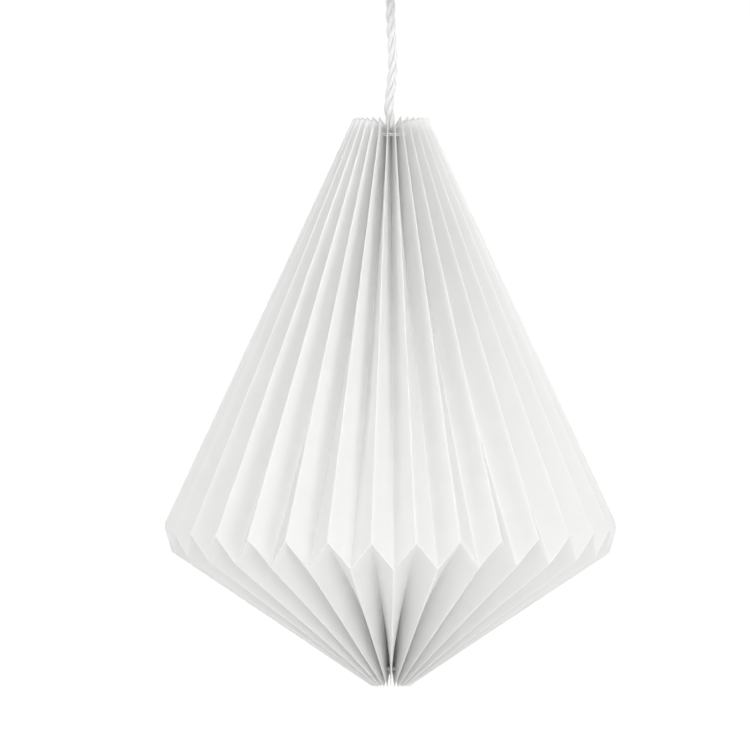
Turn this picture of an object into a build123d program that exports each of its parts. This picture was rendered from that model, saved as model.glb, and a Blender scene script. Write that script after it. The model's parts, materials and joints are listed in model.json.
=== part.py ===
from build123d import *
from math import acos, asin, atan2, cos, degrees, hypot, pi, radians, sin, sqrt, tan
import os

# Pleated paper pendant lantern: a folded paper shade on a lamp holder, which hangs on a
# twisted cord from a ceiling cup. Millimetres, +Z up, origin on the ceiling face at the
# lamp's axis, front of the lantern towards -Y.

os.makedirs("parts", exist_ok=True)

# ---------------------------------------------------------------- driving dimensions
pleat_count = 32
panel_width = 20.0            # between two neighbouring vertical creases, on the flat sheet
zigzag_drop = 14.3            # along a panel's crease, from an upper corner to a lower one
belly_radius = 156.5          # at the belly's upward corners
upper_slope = radians(24.9)   # upper crease from the vertical
top_hole_radius = 8.1         # inner folds around the cord
bottom_hole_radius = 1.9      # inner folds at the gathered bottom
paper_thickness = 0.3
front_turn = 0.8              # degrees that the frontmost downward corner is turned to the right
shade_drop = 134.0            # ceiling to the shade's highest points

string_radius = 0.7
string_knot_radius = 1.6
string_edge_distance = 7.0    # string holes to the sheet's cut edge, along the creases

cup_radius = 50.0
cup_height = 30.0
cup_wall = 1.2
cup_round = 8.0
cup_hole_clearance = 0.1
bracket_width = 14.0
bracket_thickness = 1.5
bracket_ear = 11.0
bracket_hole_spacing = 70.0
bracket_hole_radius = 2.6
side_screw_radius = 2.0
side_screw_length = 8.0
side_screw_head = 1.8
side_screw_clearance = 0.2

running_clearance = 0.3       # between pieces that move on each other
cord_radius = 3.2
cord_clearance = 0.35
cord_hole = cord_radius + cord_clearance
nipple_wall = 1.45
nipple_radius = cord_hole + nipple_wall
nipple_length = 24.0
nipple_above_cup = 7.0        # inside the cup, over its bottom
bell_flange = 3.0
bell_radius = nipple_radius + bell_flange
bell_length = 9.0
bell_neck = 2.0               # of the bell, above the point that the cord swings on
bell_mouth_clearance = 0.4
nut_rim = 2.0
nut_width = 2 * (nipple_radius + nut_rim)  # across the flats
nut_thickness = 4.0
grip_screw_radius = 1.5
grip_screw_drop = 3.0         # under the cup
grip_screw_gap = 0.3          # short of the cord's hole
grip_hex_depth = 1.5
screw_slot_width = 0.8
screw_slot_depth = 0.9

lead_radius = 1.1
lead_spacing = 2.6
lead_bend_radius = 5.0
terminal_length = 20.0
terminal_width = 12.0
terminal_height = 11.0
terminal_offset = 18.0
terminal_screw_radius = 1.9
terminal_screw_offset = 5.0   # from the middle of the block
terminal_well_depth = 3.5
terminal_screw_length = 3.0
small_slot_width = 0.7
small_slot_depth = 0.8
lead_gap = 0.4                # between the cord's end and its leads

sleeve_radius = 13.4          # inside of the socket's threaded sleeve
sleeve_wall = 0.5
sleeve_seat = 1.2             # of the holder's body around the sleeve
body_ledge = 1.1              # that the insert sits on
body_wall = 2.2
body_clearance = 0.1
cap_wall = 2.0
cap_roof_wall = 1.0
body_radius = sleeve_radius + sleeve_wall + sleeve_seat + body_ledge + body_wall
cap_radius = body_radius + body_clearance + cap_wall
cap_skirt = 18.0
cap_dome = 12.0
cap_neck_rim = 3.0
cap_neck_radius = nipple_radius + cap_neck_rim
holder_grip_length = 16.0
holder_grip_chamfer = 1.0
holder_grip_screw_radius = 1.2
holder_grip_screw_height = 5.0  # above the cap
holder_nut_rim = 1.8
holder_nut_thickness = 2.0
cord_in_grip = 6.0
body_in_cap = 12.0
body_taper = 1.5
body_rim = 1.0                # holder body below its threaded sleeve
insert_thickness = 8.0
insert_recess = 6.0
insert_screw_radius = 2.0
insert_screw_offset = 8.0
insert_screw_depth = 4.0
insert_screw_length = 3.4
holder_lead_spread = 4.5
holder_lead_drop = 5.0
sleeve_length = 21.0
contact_thickness = 0.6
contact_width = 7.0
contact_margin = 2.5          # to the sleeve, at each end

bulb_cap_length = 22.0
bulb_cap_wall = 0.4
bulb_cap_radius = sleeve_radius - running_clearance
bulb_cap_rim = 2.2
bulb_cap_chamfer = 0.8
bulb_cap_round = 1.0
bulb_tip_thickness = 0.8
bulb_tip_radius = 4.6
bulb_insulator_height = 3.4
bulb_insulator_inset = 2.0
bulb_insulator_lip = 0.6
bulb_radius = 30.0
bulb_neck_step = 2.4
bulb_neck_radius = bulb_cap_radius + bulb_neck_step
bulb_collar_length = 38.0
bulb_shell_wall = 1.5
collar_plug = 8.0             # of the collar, inside the metal cap
collar_floor = 2.0
collar_wall = 2.0
board_margin = 9.0            # to the globe's widest radius
board_seat = 3.0
board_radius = bulb_radius - board_margin
board_thickness = 1.6
driver_width = 16.0
driver_height = 26.0
led_count = 8
led_width = 2.8
led_height = 0.8
led_margin = 7.0
led_circle_radius = board_radius - led_margin


# ---------------------------------------------------------------- shape of the folded paper
# The paper doesn't stretch: every panel keeps its width, so an inner fold's radius follows
# from the outer fold's radius at the same place along the crease.
half_pitch = pi / pleat_count
pitch_cos = cos(half_pitch)
pitch_sin = sin(half_pitch)
column_step = degrees(half_pitch)
columns_per_sheet = pleat_count + 1


def inner_radius(outer_radius, slope):
    """Radius of the inner fold, a panel's width away from an outer fold, square to the crease."""
    stretch = 1 / cos(slope) ** 2
    square = stretch * pitch_cos**2 + pitch_sin**2
    half_linear = stretch * pitch_cos * outer_radius
    constant = stretch * outer_radius**2 - panel_width**2
    return (half_linear - sqrt(half_linear**2 - square * constant)) / square


def outer_radius(inner, slope):
    """Radius of the outer fold that stands over a given inner fold."""
    across = inner * pitch_sin
    return inner * pitch_cos + cos(slope) * sqrt(panel_width**2 - across**2)


class Zone:
    """One of the two cones of folds: where its outer folds start at the belly and run to."""

    def __init__(self, start_radius, start_height, slope, side, end_hole_radius):
        self.start_radius = start_radius
        self.start_height = start_height
        self.slope = slope
        self.side = side
        self.end_radius = outer_radius(end_hole_radius, slope)
        self.length = (start_radius - self.end_radius) / sin(slope)

    def folds(self, distance):
        """Outer and inner fold's radius and height at a distance along the crease."""
        outer = self.start_radius - distance * sin(self.slope)
        outer_height = self.start_height + self.side * distance * cos(self.slope)
        inner = inner_radius(outer, self.slope)
        drop = (outer - inner * pitch_cos) * tan(self.slope)
        return outer, outer_height, inner, outer_height - self.side * drop

    def distance_at_inner(self, inner):
        """Distance along the crease at which the inner fold has a given radius."""
        return (self.start_radius - outer_radius(inner, self.slope)) / sin(self.slope)


shade_top = -shade_drop
upper_length = (belly_radius - outer_radius(top_hole_radius, upper_slope)) / sin(upper_slope)
belly_height = shade_top - upper_length * cos(upper_slope)
upper = Zone(belly_radius, belly_height, upper_slope, 1, top_hole_radius)

# The zigzag crease: its lower corners lie on the upper zone's inner folds, drawn on past the
# belly, and the lower folds leave them at the angle that keeps the paper flat.
_, _, corner_radius, corner_height = upper.folds(-zigzag_drop)
corner_inset = belly_radius * pitch_cos - corner_radius
corner_drop = belly_height - corner_height
lower_fall = atan2(corner_drop, corner_inset) - acos(zigzag_drop / hypot(corner_inset, corner_drop))
lower = Zone(corner_radius, corner_height, pi / 2 - lower_fall, -1, bottom_hole_radius)
shade_bottom = corner_height - lower.length * sin(lower_fall)
belly_half_angle = (pi / 2 - upper_slope + lower_fall) / 2
belly_tilt = upper_slope - (pi / 2 - belly_half_angle)


def in_space(radius, across, height, azimuth):
    """A point given by its radius, sideways distance and height at an azimuth in degrees."""
    turn = radians(azimuth)
    x = radius * cos(turn) - across * sin(turn)
    y = radius * sin(turn) + across * cos(turn)
    return Vector(x, y, height)


def fold_points(zone, distance, azimuth, is_outer_fold, is_edge):
    """Points on the paper's outer and inner side where it folds: a flat of two on the fold's
    sharp side, or of one at the sheet's edge, and one in its crotch."""
    outer, outer_height, inner, inner_height = zone.folds(distance)
    radius, height, far_radius = outer, outer_height, inner
    if not is_outer_fold:
        radius, height, far_radius = inner, inner_height, outer
    lean = asin(far_radius * pitch_sin / panel_width)
    flat = paper_thickness / 2 / cos(lean)
    depth = paper_thickness / 2 / sin(lean)
    if is_outer_fold:
        depth = -depth
    reach = depth * cos(zone.slope)
    rise = depth * zone.side * sin(zone.slope)
    crotch = [in_space(radius + reach, 0, height + rise, azimuth)]
    sharp = [in_space(radius, -flat, height, azimuth), in_space(radius, flat, height, azimuth)]
    if is_edge:
        sharp = [in_space(radius, 0, height, azimuth)]
    if is_outer_fold:
        return sharp, crotch
    return crotch, sharp


def paper_row(zone, distance, first_azimuth):
    """The paper's outer and inner points at one place along the creases, fold by fold."""
    outer_row = []
    inner_row = []
    for column in range(columns_per_sheet):
        azimuth = first_azimuth + column * column_step
        is_upward_corner = column % 2 == 1
        is_outer_fold = is_upward_corner == (zone.side > 0)
        is_edge = column in (0, columns_per_sheet - 1)
        outside, inside = fold_points(zone, distance, azimuth, is_outer_fold, is_edge)
        outer_row.append(outside)
        inner_row.append(inside)
    return outer_row, inner_row


def belly_row(first_azimuth):
    """The paper's outer and inner points along the zigzag crease."""
    half_miter = paper_thickness / 2 / sin(belly_half_angle)
    rows = []
    for offset in (half_miter, -half_miter):
        row = []
        for column in range(columns_per_sheet):
            azimuth = first_azimuth + column * column_step
            radius, height = belly_radius, belly_height
            if column % 2 == 0:
                radius, height = corner_radius, corner_height
            reach = offset * cos(belly_tilt)
            rise = offset * sin(belly_tilt)
            row.append([in_space(radius + reach, 0, height + rise, azimuth)])
        rows.append(row)
    return rows


def triangles(corners):
    """Flat triangles over a loop of three or four corners."""
    faces = []
    for second in range(1, len(corners) - 1):
        loop = [corners[0], corners[second], corners[second + 1]]
        faces.append(Face(Wire.make_polygon(loop, close=True)))
    return faces


def strip(row_above, row_below):
    """Faces between two rows of fold points, as seen from the side they face."""
    faces = []
    for column in range(columns_per_sheet):
        above, below = row_above[column], row_below[column]
        flat = below + above[::-1]
        if len(flat) > 2:
            faces += triangles(flat)
        if column + 1 < columns_per_sheet:
            corners = [above[-1], below[-1], row_below[column + 1][0], row_above[column + 1][0]]
            faces += triangles(corners)
    return faces


def edge_strip(outer_row, inner_row):
    """The cut edge of the paper along one row."""
    faces = []
    for column in range(columns_per_sheet):
        outside, inside = outer_row[column], inner_row[column]
        flat = outside + inside[::-1]
        if len(flat) > 2:
            faces += triangles(flat)
        if column + 1 < columns_per_sheet:
            corners = [outside[-1], outer_row[column + 1][0], inner_row[column + 1][0], inside[-1]]
            faces += triangles(corners)
    return faces


upper_stations = [upper.length, upper.length * 0.75, upper.length * 0.5, upper.length * 0.25]
upper_stations.append(panel_width / 3)
lower_stations = [panel_width / 3, lower.length / 3, lower.length * 2 / 3, lower.length]


def paper_solid(first_azimuth):
    """Half of the shade, from one glued edge to the other, as a closed solid of flat facets."""
    rows = [paper_row(upper, distance, first_azimuth) for distance in upper_stations]
    rows.append(belly_row(first_azimuth))
    rows += [paper_row(lower, distance, first_azimuth) for distance in lower_stations]
    faces = edge_strip(rows[0][0], rows[0][1]) + edge_strip(rows[-1][0], rows[-1][1])
    for above, below in zip(rows, rows[1:]):
        faces += strip(above[0], below[0])
        faces += strip(above[1], below[1])
        for column in (0, columns_per_sheet - 1):
            corners = [above[0][column][0], above[1][column][0]]
            corners += [below[1][column][0], below[0][column][0]]
            faces += triangles(corners)
    return Solid(Shell(faces))


# ---------------------------------------------------------------- heights, from the top down
cup_bottom = -cup_height
nipple_top = cup_bottom + nipple_above_cup
nipple_bottom = nipple_top - nipple_length
swing_height = nipple_bottom + bell_length - bell_neck
swing_limit = radians(20)

cap_distance = upper.distance_at_inner(cap_radius)
_, _, _, fold_height_at_cap = upper.folds(cap_distance)
shoulder_height = fold_height_at_cap - running_clearance / sin(upper_slope)
neck_height = shoulder_height + cap_dome
holder_grip_top = neck_height + holder_grip_length
cap_bottom = shoulder_height - cap_skirt
body_top = cap_bottom + body_in_cap
insert_top = body_top - insert_recess
insert_bottom = insert_top - insert_thickness
body_bottom = insert_bottom - sleeve_length - body_rim
cord_bottom = holder_grip_top - cord_in_grip
bulb_tip_top = insert_bottom - contact_thickness - running_clearance

# ---------------------------------------------------------------- paper and its two strings
with BuildPart() as paper_sheet_front:
    add(paper_solid(-90 + front_turn - pleat_count // 2 * column_step))
paper_sheet_front.part.label = "paper_sheet_front"
export_step(paper_sheet_front.part, "parts/paper_sheet_front.step")

with BuildPart() as paper_sheet_back:
    add(paper_solid(90 + front_turn - pleat_count // 2 * column_step))
paper_sheet_back.part.label = "paper_sheet_back"
export_step(paper_sheet_back.part, "parts/paper_sheet_back.step")


def string_ring(zone):
    """Radius and height of a string threaded halfway across the panels near a zone's end."""
    folds = zone.folds(zone.length - string_edge_distance)
    outer, outer_height, inner, inner_height = folds
    return (outer + inner) / 2, (outer_height + inner_height) / 2


top_ring_radius, top_ring_height = string_ring(upper)
bottom_ring_radius, bottom_ring_height = string_ring(lower)
knot_azimuth = front_turn + 90 + 2 * column_step

with BuildPart() as top_string:
    with BuildSketch(Plane.XZ):
        with Locations((top_ring_radius, top_ring_height)):
            Circle(string_radius)
    revolve(axis=Axis.Z)
    with Locations(in_space(top_ring_radius, 0, top_ring_height, knot_azimuth)):
        Sphere(string_knot_radius, rotation=(0, 0, knot_azimuth))
top_string.part.label = "top_string"
export_step(top_string.part, "parts/top_string.step")

with BuildPart() as bottom_string:
    with BuildSketch(Plane.XZ):
        with Locations((bottom_ring_radius, bottom_ring_height)):
            Circle(string_radius)
    revolve(axis=Axis.Z)
    with Locations(in_space(bottom_ring_radius, 0, bottom_ring_height, knot_azimuth)):
        Sphere(string_knot_radius, rotation=(0, 0, knot_azimuth))
bottom_string.part.label = "bottom_string"
export_step(bottom_string.part, "parts/bottom_string.step")

# ---------------------------------------------------------------- ceiling fitting
screw_height = -bracket_ear / 2 - bracket_thickness
cup_inside = cup_radius - cup_wall
ear_outside = sqrt((cup_inside - running_clearance) ** 2 - (bracket_width / 2) ** 2)

with BuildPart() as ceiling_cup:
    with BuildSketch(Plane.XZ):
        with BuildLine():
            Polyline(
                (nipple_radius + cup_hole_clearance, cup_bottom),
                (cup_radius, cup_bottom),
                (cup_radius, 0),
                (0, 0),
                (0, cup_bottom),
                close=True,
            )
        make_face()
    revolve(axis=Axis.Z)
    fillet(edges().group_by(Axis.Z)[0], cup_round)
    offset(amount=-cup_wall, openings=faces().sort_by(Axis.Z)[-1])
    with Locations((0, 0, cup_bottom)):
        Cylinder(
            nipple_radius + cup_hole_clearance, cup_wall, align=(Align.CENTER, Align.CENTER, Align.MIN),
            mode=Mode.SUBTRACT,
        )
    with Locations((0, 0, screw_height)):
        Cylinder(
            side_screw_radius + side_screw_clearance, 3 * cup_radius, rotation=(0, 90, 0),
            mode=Mode.SUBTRACT,
        )
ceiling_cup.part.label = "ceiling_cup"
export_step(ceiling_cup.part, "parts/ceiling_cup.step")

with BuildPart() as ceiling_bracket:
    with Locations((0, 0, -bracket_thickness / 2)):
        Box(2 * ear_outside, bracket_width, bracket_thickness)
    ear_middle = ear_outside - bracket_thickness / 2
    ear_centre = -bracket_thickness - bracket_ear / 2
    with Locations((ear_middle, 0, ear_centre), (-ear_middle, 0, ear_centre)):
        Box(bracket_thickness, bracket_width, bracket_ear)
    with Locations((bracket_hole_spacing / 2, 0, 0), (-bracket_hole_spacing / 2, 0, 0)):
        Cylinder(bracket_hole_radius, 3 * bracket_thickness, mode=Mode.SUBTRACT)
    with Locations((0, 0, screw_height)):
        Cylinder(
            side_screw_radius, 2 * cup_radius, rotation=(0, 90, 0), mode=Mode.SUBTRACT,
        )
ceiling_bracket.part.label = "ceiling_bracket"
export_step(ceiling_bracket.part, "parts/ceiling_bracket.step")

with BuildPart() as cup_side_screws:
    for side in (1, -1):
        outside = Plane(origin=(side * cup_radius, 0, screw_height), z_dir=(side, 0, 0))
        with BuildSketch(outside):
            Circle(2 * side_screw_radius)
        extrude(amount=side_screw_head)
        with BuildSketch(outside):
            Circle(side_screw_radius)
        extrude(amount=-side_screw_length)
        with BuildSketch(outside.offset(side_screw_head)):
            Rectangle(3 * side_screw_radius, screw_slot_width)
        extrude(amount=-screw_slot_depth, mode=Mode.SUBTRACT)
cup_side_screws.part.label = "cup_side_screws"
export_step(cup_side_screws.part, "parts/cup_side_screws.step")

# The cord grip's mouth opens like a bell, so that the cord can swing in it.
bell_reach = (swing_height - nipple_bottom) * tan(swing_limit)
bell_mouth = cord_radius / cos(swing_limit) + bell_reach + bell_mouth_clearance

with BuildPart() as cup_cord_grip:
    with BuildSketch(Plane.XZ):
        with BuildLine():
            Polyline(
                (cord_hole, nipple_top),
                (nipple_radius, nipple_top),
                (nipple_radius, cup_bottom),
                (bell_radius, cup_bottom),
                (bell_radius, nipple_bottom),
                (bell_mouth, nipple_bottom),
                (cord_hole, swing_height),
                close=True,
            )
        make_face()
    revolve(axis=Axis.Z)
    with BuildSketch(Plane.YZ.offset(bell_radius)):
        with Locations((0, cup_bottom - grip_screw_drop)):
            Circle(grip_screw_radius)
    extrude(amount=-bell_radius, mode=Mode.SUBTRACT)
cup_cord_grip.part.label = "cup_cord_grip"
export_step(cup_cord_grip.part, "parts/cup_cord_grip.step")

with BuildPart() as cup_grip_screw:
    with BuildSketch(Plane.YZ.offset(bell_radius)):
        with Locations((0, cup_bottom - grip_screw_drop)):
            Circle(grip_screw_radius)
    extrude(amount=-(bell_radius - cord_hole) + grip_screw_gap)
    with BuildSketch(Plane.YZ.offset(bell_radius)):
        with Locations((0, cup_bottom - grip_screw_drop)):
            RegularPolygon(grip_screw_radius * 0.55, 6)
    extrude(amount=-grip_hex_depth, mode=Mode.SUBTRACT)
cup_grip_screw.part.label = "cup_grip_screw"
export_step(cup_grip_screw.part, "parts/cup_grip_screw.step")

with BuildPart() as cup_grip_nut:
    with BuildSketch(Plane.XY.offset(cup_bottom + cup_wall)):
        RegularPolygon(nut_width / 2, 6, major_radius=False)
        Circle(nipple_radius, mode=Mode.SUBTRACT)
    extrude(amount=nut_thickness)
cup_grip_nut.part.label = "cup_grip_nut"
export_step(cup_grip_nut.part, "parts/cup_grip_nut.step")

with BuildPart() as terminal_block:
    with Locations((terminal_offset, 0, -bracket_thickness - terminal_height / 2)):
        Box(terminal_length, terminal_width, terminal_height)
    with Locations(
        (terminal_offset - terminal_screw_offset, 0, -bracket_thickness - terminal_height),
        (terminal_offset + terminal_screw_offset, 0, -bracket_thickness - terminal_height),
    ):
        Cylinder(terminal_screw_radius, 2 * terminal_well_depth, mode=Mode.SUBTRACT)
terminal_block.part.label = "terminal_block"
export_step(terminal_block.part, "parts/terminal_block.step")

with BuildPart() as terminal_screws:
    terminal_floor = -bracket_thickness - terminal_height + terminal_well_depth
    screw_places = ((terminal_offset - terminal_screw_offset, 0), (terminal_offset + terminal_screw_offset, 0))
    with BuildSketch(Plane.XY.offset(terminal_floor)):
        with Locations(*screw_places):
            Circle(terminal_screw_radius)
    extrude(amount=-terminal_screw_length)
    with BuildSketch(Plane.XY.offset(terminal_floor - terminal_screw_length)):
        with Locations(*screw_places):
            Rectangle(3 * terminal_screw_radius, small_slot_width)
    extrude(amount=small_slot_depth, mode=Mode.SUBTRACT)
terminal_screws.part.label = "terminal_screws"
export_step(terminal_screws.part, "parts/terminal_screws.step")

lead_start = swing_height + cord_radius + lead_gap
lead_height = -bracket_thickness - terminal_height / 2
lead_end = terminal_offset - terminal_length / 2

with BuildPart() as cord_leads:
    for side in (1, -1):
        across = side * lead_spacing / 2
        with BuildLine() as lead_route:
            FilletPolyline(
                (0, across, lead_start),
                (0, across, lead_height),
                (lead_end, across, lead_height),
                radius=lead_bend_radius,
            )
        with BuildSketch(Plane.XY.offset(lead_start)):
            with Locations((0, across)):
                Circle(lead_radius)
        sweep(path=lead_route.wire())
cord_leads.part.label = "cord_leads"
export_step(cord_leads.part, "parts/cord_leads.step")

# ---------------------------------------------------------------- cord
# Pulled tight by the lantern, with the slight set that the twist leaves in it.
cord_route = [
    (0, 0, swing_height),
    (-0.3, 0.1, swing_height - 18),
    (0.4, 0.2, swing_height - 36),
    (1.7, 0, swing_height - 54),
    (0.6, -0.2, swing_height - 71),
    (-1.7, -0.1, swing_height - 86),
    (0, 0, cord_bottom + 9),
    (0, 0, cord_bottom),
]
cord_bends = []
for before, corner, after in zip(cord_route, cord_route[1:], cord_route[2:]):
    run_in = Vector(*corner) - Vector(*before)
    run_out = Vector(*after) - Vector(*corner)
    half_turn = radians(run_in.get_angle(run_out)) / 2
    cord_bends.append(0.45 * min(run_in.length, run_out.length) / tan(half_turn))

with BuildPart() as cord:
    with BuildLine() as cord_line:
        FilletPolyline(*cord_route, radius=cord_bends)
    cord_path = cord_line.wire()
    with BuildSketch(Plane(origin=cord_route[0], z_dir=cord_path.tangent_at(0))):
        Circle(cord_radius)
    sweep(path=cord_path)
    with Locations(cord_route[0]):
        Sphere(cord_radius)
cord.part.label = "cord"
export_step(cord.part, "parts/cord.step")
cord_section = pi * cord_radius**2
cord_expected = cord_section * cord_path.length + cord_section * cord_radius * 2 / 3
print("cord bend radii", [round(bend) for bend in cord_bends])
print("cord length", round(cord_path.length, 2))
print("cord volume", round(cord.part.volume, 1), "section times length", round(cord_expected, 1))

# ---------------------------------------------------------------- lamp holder
with BuildPart() as holder_cap:
    with BuildSketch(Plane.XZ):
        with BuildLine():
            Polyline(
                (nipple_radius, neck_height),
                (cap_neck_radius, neck_height),
                (cap_radius, shoulder_height),
                (cap_radius, cap_bottom),
                (cap_radius - cap_wall, cap_bottom),
                (cap_radius - cap_wall, shoulder_height - cap_roof_wall),
                (cap_neck_radius - cap_roof_wall, neck_height - cap_wall),
                (nipple_radius, neck_height - cap_wall),
                close=True,
            )
        make_face()
    revolve(axis=Axis.Z)
holder_cap.part.label = "holder_cap"
export_step(holder_cap.part, "parts/holder_cap.step")

with BuildPart() as holder_cord_grip:
    with BuildSketch(Plane.XZ):
        with BuildLine():
            Polyline(
                (cord_hole, holder_grip_top),
                (nipple_radius - holder_grip_chamfer, holder_grip_top),
                (nipple_radius, holder_grip_top - holder_grip_chamfer),
                (nipple_radius, neck_height - cap_wall - holder_nut_thickness),
                (cord_hole, neck_height - cap_wall - holder_nut_thickness),
                close=True,
            )
        make_face()
    revolve(axis=Axis.Z)
    with Locations((nipple_radius, 0, neck_height + holder_grip_screw_height)):
        Cylinder(
            holder_grip_screw_radius, 3 * nipple_wall, rotation=(0, 90, 0), mode=Mode.SUBTRACT,
        )
holder_cord_grip.part.label = "holder_cord_grip"
export_step(holder_cord_grip.part, "parts/holder_cord_grip.step")

with BuildPart() as holder_grip_screw:
    with BuildSketch(Plane.YZ.offset(nipple_radius)):
        with Locations((0, neck_height + holder_grip_screw_height)):
            Circle(holder_grip_screw_radius)
    extrude(amount=-(nipple_radius - cord_hole))
holder_grip_screw.part.label = "holder_grip_screw"
export_step(holder_grip_screw.part, "parts/holder_grip_screw.step")

with BuildPart() as holder_nut:
    with BuildSketch(Plane.XY.offset(neck_height - cap_wall)):
        Circle(nipple_radius + holder_nut_rim)
        Circle(nipple_radius, mode=Mode.SUBTRACT)
    extrude(amount=-holder_nut_thickness)
holder_nut.part.label = "holder_nut"
export_step(holder_nut.part, "parts/holder_nut.step")

with BuildPart() as holder_body:
    with BuildSketch(Plane.XZ):
        with BuildLine():
            Polyline(
                (body_radius - body_wall, body_top),
                (body_radius, body_top),
                (body_radius, cap_bottom),
                (cap_radius, cap_bottom),
                (cap_radius - body_taper, body_bottom),
                (sleeve_radius + sleeve_wall + sleeve_seat, body_bottom),
                (sleeve_radius + sleeve_wall + sleeve_seat, insert_bottom),
                (body_radius - body_wall, insert_bottom),
                close=True,
            )
        make_face()
    revolve(axis=Axis.Z)
holder_body.part.label = "holder_body"
export_step(holder_body.part, "parts/holder_body.step")

insert_radius = body_radius - body_wall - body_clearance
insert_screw_places = ((0, insert_screw_offset), (0, -insert_screw_offset))
with BuildPart() as holder_insert:
    with BuildSketch(Plane.XY.offset(insert_bottom)):
        Circle(insert_radius)
    extrude(amount=insert_thickness)
    with BuildSketch(Plane.XY.offset(insert_top)):
        with Locations(*insert_screw_places):
            Circle(insert_screw_radius)
    extrude(amount=-insert_screw_depth, mode=Mode.SUBTRACT)
holder_insert.part.label = "holder_insert"
export_step(holder_insert.part, "parts/holder_insert.step")

with BuildPart() as holder_terminal_screws:
    with BuildSketch(Plane.XY.offset(insert_top - insert_screw_depth)):
        with Locations(*insert_screw_places):
            Circle(insert_screw_radius)
    extrude(amount=insert_screw_length)
    with BuildSketch(Plane.XY.offset(insert_top - insert_screw_depth + insert_screw_length)):
        with Locations(*insert_screw_places):
            Rectangle(3 * insert_screw_radius, small_slot_width)
    extrude(amount=-small_slot_depth, mode=Mode.SUBTRACT)
holder_terminal_screws.part.label = "holder_terminal_screws"
export_step(holder_terminal_screws.part, "parts/holder_terminal_screws.step")

with BuildPart() as holder_leads:
    for side in (1, -1):
        across = side * lead_spacing / 2
        with BuildLine() as holder_lead_route:
            FilletPolyline(
                (0, across, cord_bottom - lead_gap),
                (0, across, neck_height - cap_wall - holder_lead_drop),
                (0, side * holder_lead_spread, insert_top + insert_recess),
                (0, side * holder_lead_spread, insert_top),
                radius=lead_bend_radius,
            )
        with BuildSketch(Plane.XY.offset(cord_bottom - lead_gap)):
            with Locations((0, across)):
                Circle(lead_radius)
        sweep(path=holder_lead_route.wire())
holder_leads.part.label = "holder_leads"
export_step(holder_leads.part, "parts/holder_leads.step")

with BuildPart() as socket_sleeve:
    with BuildSketch(Plane.XY.offset(insert_bottom)):
        Circle(sleeve_radius + sleeve_wall)
        Circle(sleeve_radius, mode=Mode.SUBTRACT)
    extrude(amount=-sleeve_length)
socket_sleeve.part.label = "socket_sleeve"
export_step(socket_sleeve.part, "parts/socket_sleeve.step")

with BuildPart() as centre_contact:
    with BuildSketch(Plane.XY.offset(insert_bottom)):
        SlotOverall(2 * (sleeve_radius - contact_margin), contact_width)
    extrude(amount=-contact_thickness)
centre_contact.part.label = "centre_contact"
export_step(centre_contact.part, "parts/centre_contact.step")

# ---------------------------------------------------------------- bulb
bulb_cap_top = bulb_tip_top - bulb_tip_thickness - bulb_insulator_height
bulb_cap_bottom = bulb_cap_top - bulb_cap_length
collar_bottom = bulb_cap_bottom - bulb_collar_length

with BuildPart() as bulb_tip_contact:
    with BuildSketch(Plane.XY.offset(bulb_tip_top)):
        Circle(bulb_tip_radius)
    extrude(amount=-bulb_tip_thickness)
bulb_tip_contact.part.label = "bulb_tip_contact"
export_step(bulb_tip_contact.part, "parts/bulb_tip_contact.step")

with BuildPart() as bulb_insulator:
    with BuildSketch(Plane.XY.offset(bulb_cap_top)):
        Circle(bulb_cap_radius - bulb_insulator_inset)
    with BuildSketch(Plane.XY.offset(bulb_cap_top + bulb_insulator_height)):
        Circle(bulb_tip_radius + bulb_insulator_lip)
    loft()
bulb_insulator.part.label = "bulb_insulator"
export_step(bulb_insulator.part, "parts/bulb_insulator.step")

with BuildPart() as bulb_cap:
    with BuildSketch(Plane.XZ):
        with BuildLine():
            Polyline(
                (bulb_cap_radius - bulb_cap_rim, bulb_cap_top),
                (bulb_cap_radius - bulb_cap_chamfer, bulb_cap_top),
                (bulb_cap_radius, bulb_cap_top - bulb_cap_round),
                (bulb_cap_radius, bulb_cap_bottom),
                (bulb_cap_radius - bulb_cap_wall, bulb_cap_bottom),
                (bulb_cap_radius - bulb_cap_wall, bulb_cap_top - bulb_cap_round - bulb_cap_wall),
                (bulb_cap_radius - bulb_cap_rim, bulb_cap_top - bulb_cap_wall),
                close=True,
            )
        make_face()
    revolve(axis=Axis.Z)
bulb_cap.part.label = "bulb_cap"
export_step(bulb_cap.part, "parts/bulb_cap.step")

collar_top_radius = bulb_cap_radius - bulb_cap_wall
with BuildPart() as bulb_collar:
    with BuildSketch(Plane.XZ):
        with BuildLine():
            Polyline(
                (0, bulb_cap_bottom + collar_plug),
                (collar_top_radius, bulb_cap_bottom + collar_plug),
                (collar_top_radius, bulb_cap_bottom),
                (bulb_neck_radius, bulb_cap_bottom),
            )
            Spline(
                (bulb_neck_radius, bulb_cap_bottom),
                (bulb_radius, collar_bottom),
                tangents=((0.15, -1), (0.1, -1)),
            )
            Polyline(
                (bulb_radius, collar_bottom),
                (bulb_radius - bulb_shell_wall, collar_bottom),
                (board_radius, collar_bottom),
                (0, collar_bottom),
                (0, bulb_cap_bottom + collar_plug),
            )
        make_face()
    revolve(axis=Axis.Z)
    with BuildSketch(Plane.XZ):
        Polygon(
            (0, collar_bottom),
            (board_radius - board_seat, collar_bottom),
            (collar_top_radius - collar_wall, bulb_cap_bottom + collar_plug - collar_floor),
            (0, bulb_cap_bottom + collar_plug - collar_floor),
            align=None,
        )
    revolve(axis=Axis.Z, mode=Mode.SUBTRACT)
bulb_collar.part.label = "bulb_collar"
export_step(bulb_collar.part, "parts/bulb_collar.step")

with BuildPart() as bulb_globe:
    with Locations((0, 0, collar_bottom)):
        Sphere(bulb_radius)
        Sphere(bulb_radius - bulb_shell_wall, mode=Mode.SUBTRACT)
    split(bisect_by=Plane.XY.offset(collar_bottom), keep=Keep.BOTTOM)
bulb_globe.part.label = "bulb_globe"
export_step(bulb_globe.part, "parts/bulb_globe.step")

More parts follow.
